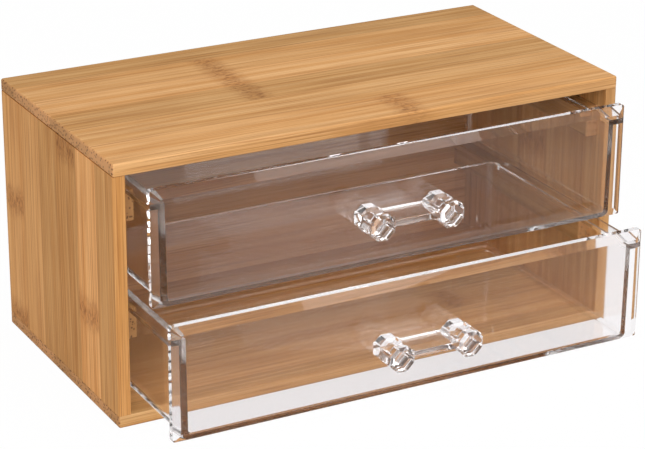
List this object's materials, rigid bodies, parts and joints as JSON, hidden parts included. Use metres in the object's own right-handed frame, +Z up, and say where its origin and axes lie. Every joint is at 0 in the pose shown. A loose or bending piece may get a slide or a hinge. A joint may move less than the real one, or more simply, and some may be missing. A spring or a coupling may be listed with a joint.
{
  "type": "makeup organizer with drawers",
  "caption": "Open-fronted bamboo case with stacked clear moulded drawers, which hang by side flanges on wooden runners and have faceted clear pulls.",
  "frame": {"origin": "middle of the case's underside, on the surface that it stands on", "axes": "+X along the case's width, to the right of someone who faces the drawers; +Z up; the drawers open towards -Y"},
  "size_m": [0.24, 0.1732, 0.116],
  "materials": {
    "bamboo": "satin clear lacquer over caramel coloured bamboo strip",
    "clear_plastic": "polished clear styrene or acrylic"
  },
  "bodies": {
    "case": {"top_board": "bamboo", "bottom_board": "bamboo", "left_side_board": "bamboo", "right_side_board": "bamboo", "back_panel": "bamboo", "upper_left_runner": "bamboo", "upper_right_runner": "bamboo", "lower_left_runner": "bamboo", "lower_right_runner": "bamboo"},
    "upper_drawer": {"upper_drawer_tray": "clear_plastic", "upper_drawer_handle": "clear_plastic"},
    "lower_drawer": {"lower_drawer_tray": "clear_plastic", "lower_drawer_handle": "clear_plastic"}
  },
  "joints": [
    {"name": "upper_drawer_slide", "type": "slide", "parent": "case", "child": "upper_drawer", "axis": [0, -1, 0], "range_m": [-0.019, 0.063]},
    {"name": "lower_drawer_slide", "type": "slide", "parent": "case", "child": "lower_drawer", "axis": [0, -1, 0], "range_m": [-0.0365, 0.0455]}
  ]
}
